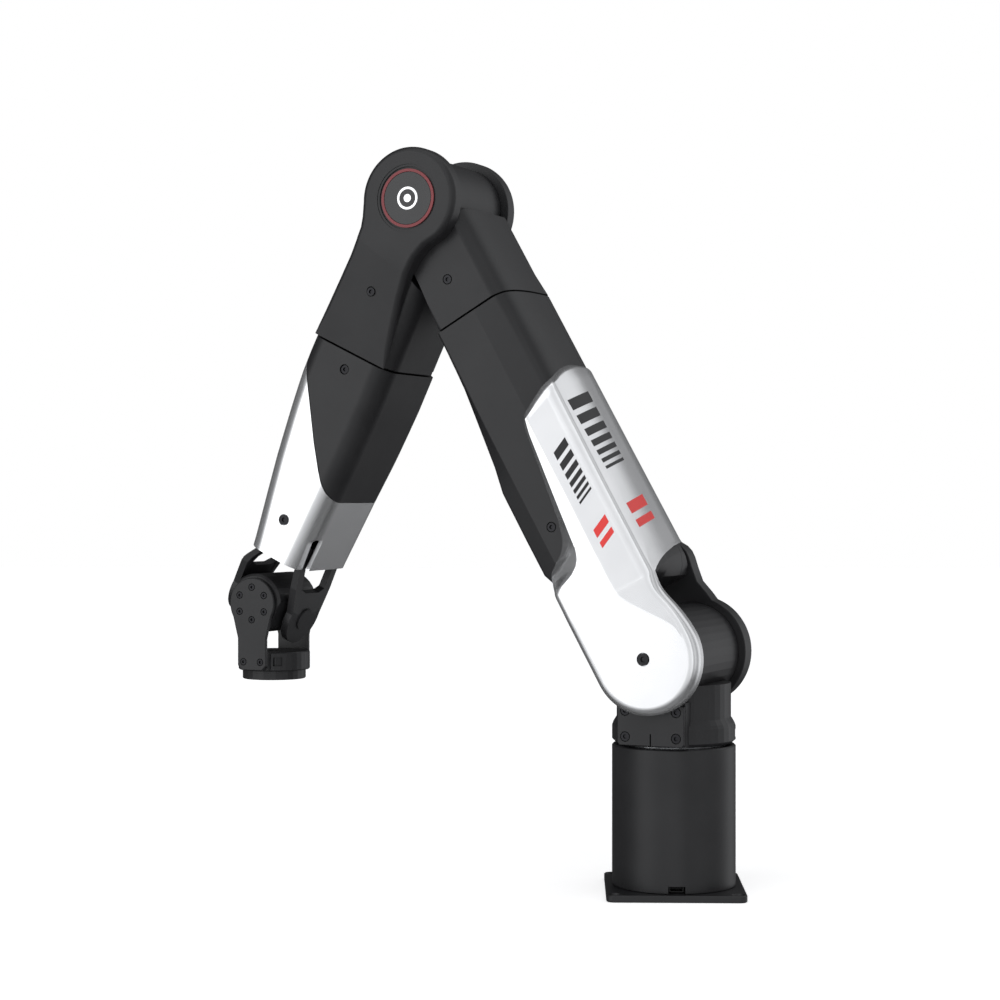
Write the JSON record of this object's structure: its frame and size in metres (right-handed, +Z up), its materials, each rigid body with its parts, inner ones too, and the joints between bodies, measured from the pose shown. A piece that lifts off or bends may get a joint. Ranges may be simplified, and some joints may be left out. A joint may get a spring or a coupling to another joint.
{
  "type": "collaborative robot arm",
  "caption": "Slim tabletop robot arm with a round base column, silver-covered upper arm, folded forearm, forked wrist and round tool flange.",
  "frame": {"origin": "centre of the base plate's underside", "axes": "+Z up the base column, +X to the right and +Y away as the arm is shown; the base plate is square to X and Y"},
  "size_m": [0.3247, 0.1942, 0.4397],
  "materials": {
    "black_paint": "fine satin black coating",
    "silver_paint": "smooth metallic silver",
    "aluminium": "machined",
    "steel": "ground",
    "motor": "wound copper under varnish",
    "screw": "black oxide",
    "socket_plastic": "moulded",
    "circuit_board": "solder mask",
    "badge": "gloss",
    "accent_red": "satin red"
  },
  "bodies": {
    "base": {"base_plate": "black_paint", "base_column": "black_paint", "power_socket": "socket_plastic", "control_board": "circuit_board", "yaw_motor_stator": "motor", "yaw_bearing": "steel"},
    "turret": {"yaw_shaft": "steel", "turret_body": "black_paint", "turret_front_plate": "black_paint", "turret_screw_left_lower": "screw", "turret_screw_left_upper": "screw", "turret_screw_right_lower": "screw", "turret_screw_right_upper": "screw", "shoulder_motor": "motor"},
    "upper_arm": {"shoulder_output_flange": "aluminium", "shoulder_front_cheek": "aluminium", "shoulder_back_cheek": "black_paint", "upper_arm_core": "aluminium", "upper_arm_shell": "black_paint", "upper_arm_back_cover": "black_paint", "silver_cover": "silver_paint", "shoulder_pivot_screw": "screw", "upper_arm_screw": "screw", "roll_motor": "motor", "roll_bearing": "steel"},
    "elbow": {"elbow_housing": "black_paint", "elbow_roll_shaft": "steel", "elbow_motor": "motor", "elbow_housing_screw": "screw"},
    "forearm_upper": {"elbow_output_flange": "aluminium", "forearm_front_cheek": "black_paint", "forearm_back_cheek": "black_paint", "forearm_upper_housing": "black_paint", "elbow_badge": "badge", "elbow_badge_ring": "accent_red", "forearm_upper_screw": "screw", "forearm_roll_motor": "motor"},
    "forearm_lower": {"forearm_core": "aluminium", "forearm_black_shell": "black_paint", "forearm_silver_shell": "silver_paint", "forearm_lower_screw": "screw", "silver_shell_screw": "screw", "wrist_fork_base": "black_paint", "wrist_fork_left": "black_paint", "wrist_fork_right": "black_paint"},
    "wrist": {"wrist_cross": "black_paint", "wrist_motor": "motor"},
    "tool": {"yaw_output_flange": "aluminium", "yoke_front_plate": "black_paint", "yoke_back_plate": "black_paint", "yoke_base": "black_paint", "tool_flange": "black_paint", "yoke_foot_screw_1": "screw", "yoke_foot_screw_2": "screw", "yoke_head_screw_1": "screw", "yoke_head_screw_2": "screw", "yoke_head_screw_3": "screw", "yoke_head_screw_4": "screw", "yoke_head_screw_5": "screw", "yoke_head_screw_6": "screw"}
  },
  "joints": [
    {"name": "base_yaw", "type": "hinge", "parent": "base", "child": "turret", "pos_m": [0, 0, 0.087], "axis": [0, 0, 1], "range_deg": [-131.4, 178.6]},
    {"name": "shoulder_pitch", "type": "hinge", "parent": "turret", "child": "upper_arm", "pos_m": [0, 0, 0.138], "axis": [0.4003, 0.9164, 0], "range_deg": [-70.5, 129.5]},
    {"name": "upper_arm_roll", "type": "hinge", "parent": "upper_arm", "child": "elbow", "pos_m": [-0.10514, 0.04593, 0.34079], "axis": [-0.4512, 0.1971, 0.8704], "range_deg": [-158, 158]},
    {"name": "elbow_pitch", "type": "hinge", "parent": "elbow", "child": "forearm_upper", "pos_m": [-0.13988, 0.06111, 0.40781], "axis": [0.4003, 0.9164, 0], "range_deg": [0, 181]},
    {"name": "forearm_roll", "type": "hinge", "parent": "forearm_upper", "child": "forearm_lower", "pos_m": [-0.18011, 0.07869, 0.3174], "axis": [-0.4003, 0.1749, -0.8996], "range_deg": [-158, 158]},
    {"name": "wrist_pitch", "type": "hinge", "parent": "forearm_lower", "child": "wrist", "pos_m": [-0.24876, 0.10868, 0.16313], "axis": [0.8243, -0.3601, -0.4368], "range_deg": [-35, 35]},
    {"name": "wrist_yaw", "type": "hinge", "parent": "wrist", "child": "tool", "pos_m": [-0.24876, 0.10868, 0.16313], "axis": [0.4003, 0.9164, 0], "range_deg": [-14.1, 65.9]}
  ]
}
